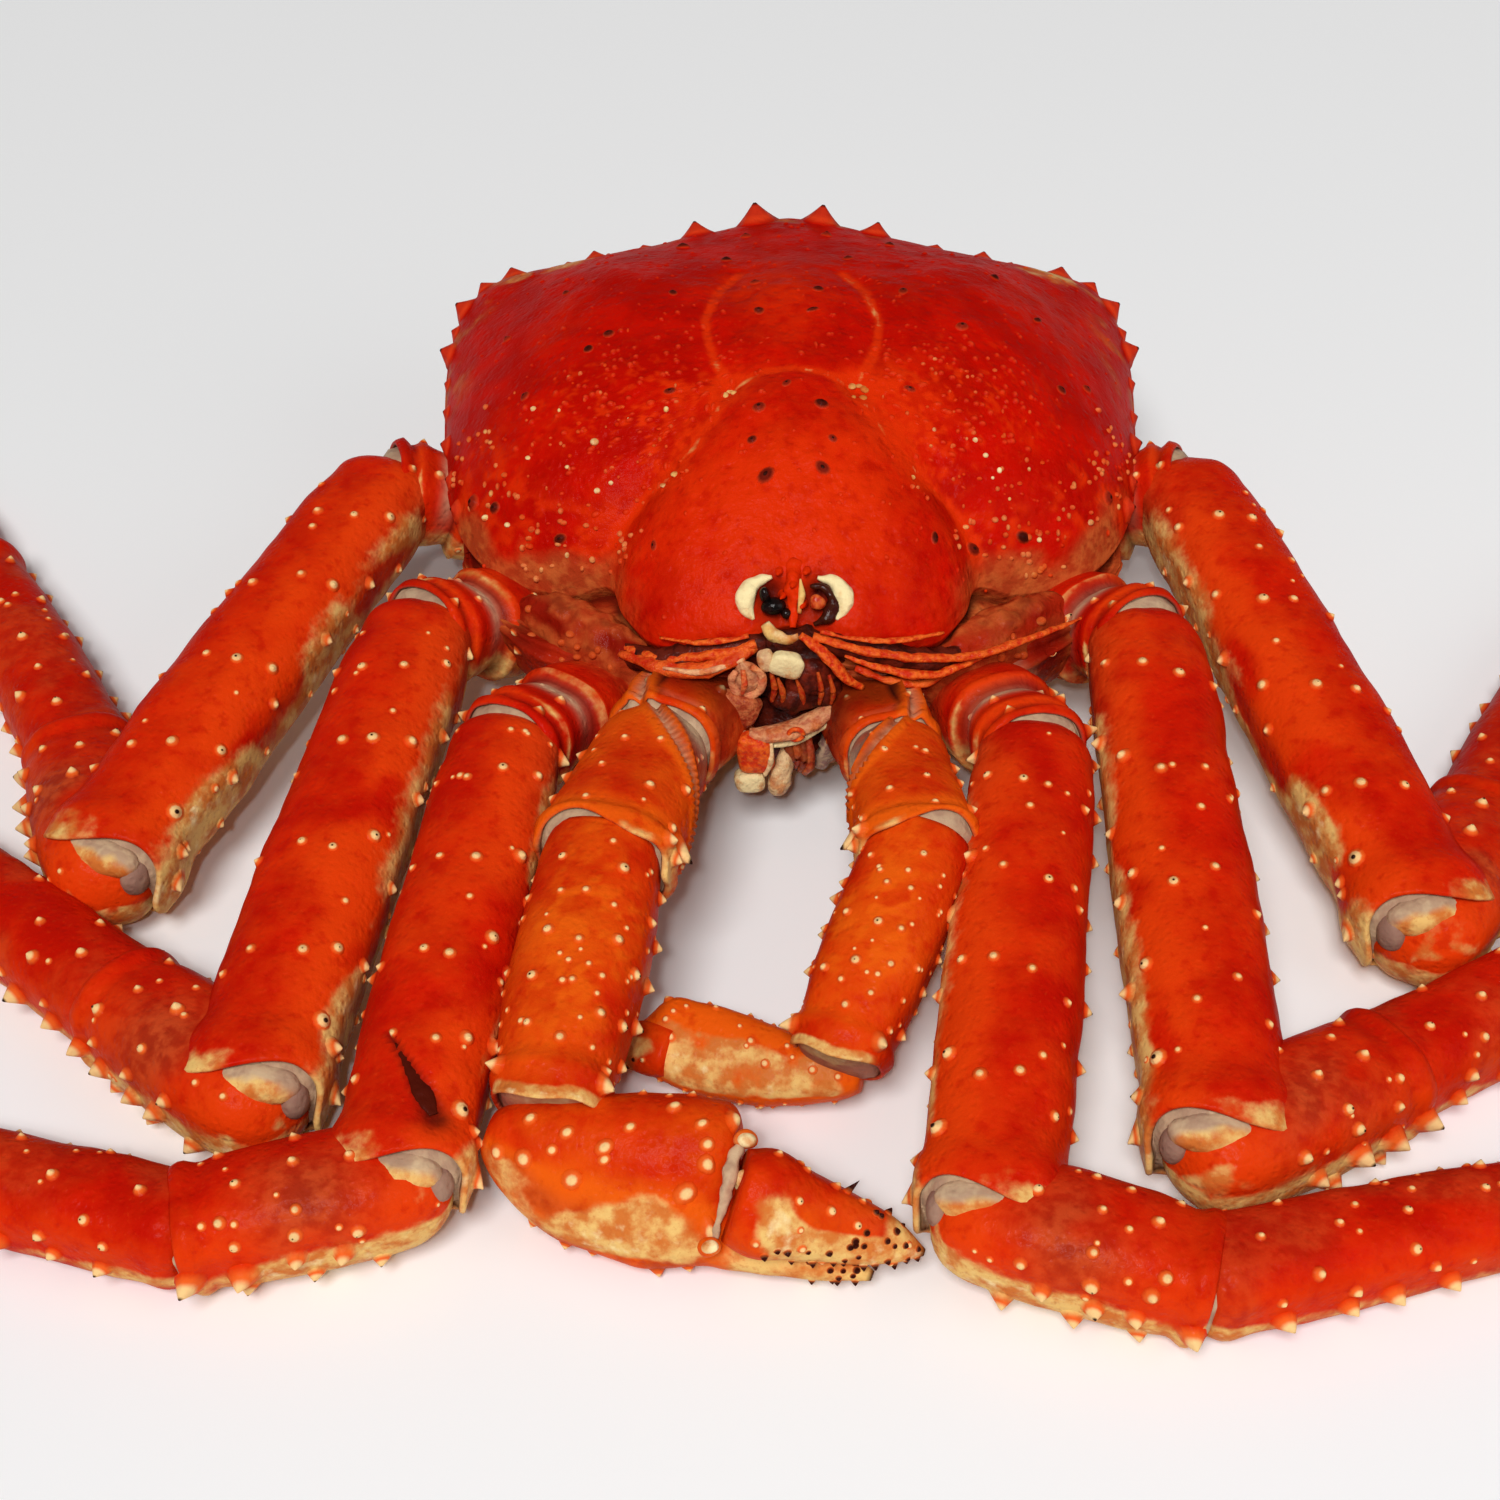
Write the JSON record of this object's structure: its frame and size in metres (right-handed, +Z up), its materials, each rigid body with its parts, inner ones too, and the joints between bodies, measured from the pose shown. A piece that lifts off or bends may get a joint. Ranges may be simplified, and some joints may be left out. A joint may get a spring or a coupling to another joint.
{
  "type": "whole cooked red king crab",
  "caption": "Whole cooked red king crab lying on its folded tail, spiny domed shell, walking legs bent outwards at the knees, a large and a small claw folded in front.",
  "frame": {"origin": "middle of the bounding box, on the surface that the crab lies on", "axes": "+X is the crab's own left, -Y is the way it faces, +Z is up"},
  "size_m": [0.6096, 0.407, 0.1086],
  "materials": {
    "shell": "wet glossy cooked crab shell, deep red, finely pitted",
    "body": "brownish red cooked shell with tan blotches",
    "leg": "glossy orange red cooked shell with cream spine tips and a cream underside",
    "claw": "glossy orange cooked shell with cream patches and dark teeth",
    "eye": "black, shiny",
    "mouth": "maroon mouth limbs with a cream block of jaws",
    "feeler": "orange feelers and mouth limbs"
  },
  "bodies": {
    "root": {"carapace": "shell", "thorax": "body", "abdomen": "body", "mouth": "mouth", "eye_left": "eye", "eye_right": "eye", "antenna_left": "feeler", "antenna_right": "feeler", "maxilliped_left": "feeler", "maxilliped_right": "feeler", "coxa_front_right": "leg", "merus_front_right": "leg", "carpus_front_right": "leg", "propodus_front_right": "leg", "dactylus_front_right": "leg", "coxa_front_left": "leg", "merus_front_left": "leg", "carpus_front_left": "leg", "propodus_front_left": "leg", "dactylus_front_left": "leg", "coxa_middle_right": "leg", "merus_middle_right": "leg", "carpus_middle_right": "leg", "propodus_middle_right": "leg", "dactylus_middle_right": "leg", "coxa_middle_left": "leg", "merus_middle_left": "leg", "carpus_middle_left": "leg", "propodus_middle_left": "leg", "dactylus_middle_left": "leg", "coxa_rear_right": "leg", "merus_rear_right": "leg", "carpus_rear_right": "leg", "propodus_rear_right": "leg", "dactylus_rear_right": "leg", "coxa_rear_left": "leg", "merus_rear_left": "leg", "carpus_rear_left": "leg", "propodus_rear_left": "leg", "dactylus_rear_left": "leg", "claw_coxa_right": "claw", "claw_merus_right": "claw", "claw_carpus_right": "claw", "claw_palm_right": "claw", "claw_finger_right": "claw", "claw_coxa_left": "claw", "claw_merus_left": "claw", "claw_carpus_left": "claw", "claw_palm_left": "claw", "claw_finger_left": "claw"}
  },
  "joints": []
}
